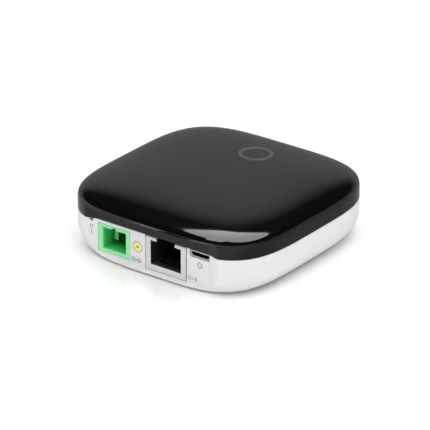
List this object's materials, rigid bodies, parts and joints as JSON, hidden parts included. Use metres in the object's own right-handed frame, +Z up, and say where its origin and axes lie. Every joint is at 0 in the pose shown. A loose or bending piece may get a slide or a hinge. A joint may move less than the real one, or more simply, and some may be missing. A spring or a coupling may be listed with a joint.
{
  "type": "optical network terminal",
  "caption": "Palm-sized fibre network terminal: white rounded-square tray under a glossy black domed cover, with fibre, Ethernet, power and reset ports on one flat face.",
  "frame": {"origin": "centre of the bounding box in plan, on the surface that the rubber feet stand on", "axes": "+Z up, ports face -Y, +X to the right when looking at the back of the unit from the port side"},
  "size_m": [0.0772, 0.0767, 0.0235],
  "materials": {
    "white_plastic": "satin moulded ABS, very fine texture",
    "black_gloss": "high-gloss moulded polycarbonate",
    "ring_plastic": "translucent smoked inlay, flush",
    "clear_plastic": "clear light guide",
    "board": "green solder mask on glass-epoxy laminate",
    "turned_steel": "machined stainless steel",
    "plated_steel": "tin-plated folded sheet steel",
    "gold_plate": "gold-plated",
    "aluminium": "anodised or bare",
    "green_plastic": "green moulded PBT, the colour for angled fibre connectors",
    "black_plastic": "black glass-filled moulding",
    "clip_plastic": "natural moulded resin",
    "zirconia": "polished zirconia",
    "rubber": "soft grey self-adhesive foot",
    "chip_epoxy": "black moulding compound",
    "pad": "soft thermal gap pad",
    "ferrite": "sintered ferrite",
    "led_body": "white reflector package",
    "label": "blank matt label"
  },
  "bodies": {
    "terminal": {"base_shell": "white_plastic", "top_cover": "black_gloss", "status_ring": "ring_plastic", "light_guide": "clear_plastic", "main_board": "board", "rating_label": "label", "soc_chip": "chip_epoxy", "thermal_pad": "pad", "heat_sink": "aluminium", "memory_chip": "chip_epoxy", "flash_chip": "chip_epoxy", "clock_crystal": "plated_steel", "status_led": "led_body", "optics_driver_shield": "plated_steel", "power_inductor": "ferrite", "capacitor_1": "aluminium", "capacitor_2": "aluminium", "lan_transformer": "black_plastic", "sc_adapter_housing": "green_plastic", "sc_latch_clip": "clip_plastic", "sc_split_sleeve": "zirconia", "ferrule_stub": "zirconia", "optical_subassembly_body": "turned_steel", "laser_diode_can": "gold_plate", "photodiode_can": "gold_plate", "rj45_shield": "plated_steel", "rj45_insulator": "black_plastic", "micro_usb_shell": "plated_steel", "micro_usb_tongue": "black_plastic", "reset_switch_body": "black_plastic", "board_screw_1": "turned_steel", "rubber_foot_1": "rubber", "board_screw_2": "turned_steel", "rubber_foot_2": "rubber", "board_screw_3": "turned_steel", "rubber_foot_3": "rubber", "board_screw_4": "turned_steel", "rubber_foot_4": "rubber"},
    "ethernet_contacts": {"rj45_contact_1": "gold_plate", "rj45_contact_2": "gold_plate", "rj45_contact_3": "gold_plate", "rj45_contact_4": "gold_plate", "rj45_contact_5": "gold_plate", "rj45_contact_6": "gold_plate", "rj45_contact_7": "gold_plate", "rj45_contact_8": "gold_plate"},
    "reset_plunger": {"reset_switch_plunger": "black_plastic"}
  },
  "joints": [
    {"name": "reset_press", "type": "slide", "parent": "terminal", "child": "reset_plunger", "axis": [0, 1, 0], "range_m": [0, 0.00025], "stiffness_N_per_m": 6400},
    {"name": "contact_flex", "type": "hinge", "parent": "terminal", "child": "ethernet_contacts", "pos_m": [0.00511, -0.03318, 0.00472], "axis": [1, 0, 0], "range_deg": [-8, 0], "stiffness_Nm_per_rad": 0.5}
  ]
}
